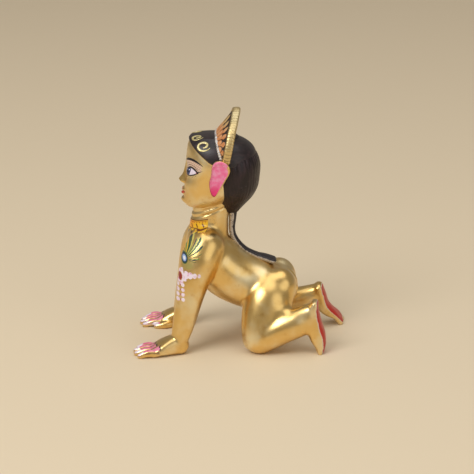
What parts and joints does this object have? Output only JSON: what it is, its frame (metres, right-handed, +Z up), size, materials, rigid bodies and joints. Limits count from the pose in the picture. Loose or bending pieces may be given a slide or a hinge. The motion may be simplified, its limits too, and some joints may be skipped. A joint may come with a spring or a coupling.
{
  "type": "crawling idol",
  "caption": "Small cast brass idol of a crawling child deity, resting on palms, knees and toes, with swept-back hair, a long plait and a pointed petal crown.",
  "frame": {"origin": "on the surface that the figure rests on, under the middle of its length and width", "axes": "+Z up; the figure faces -Y; +X is the figure's left side"},
  "size_m": [0.036, 0.0652, 0.0734],
  "materials": {
    "polished_brass": "polished, with hand-painted hair, crown, eyes, lips, collar, feather, fingers and soles"
  },
  "bodies": {
    "root": {"crawling_figure": "polished_brass"}
  },
  "joints": []
}
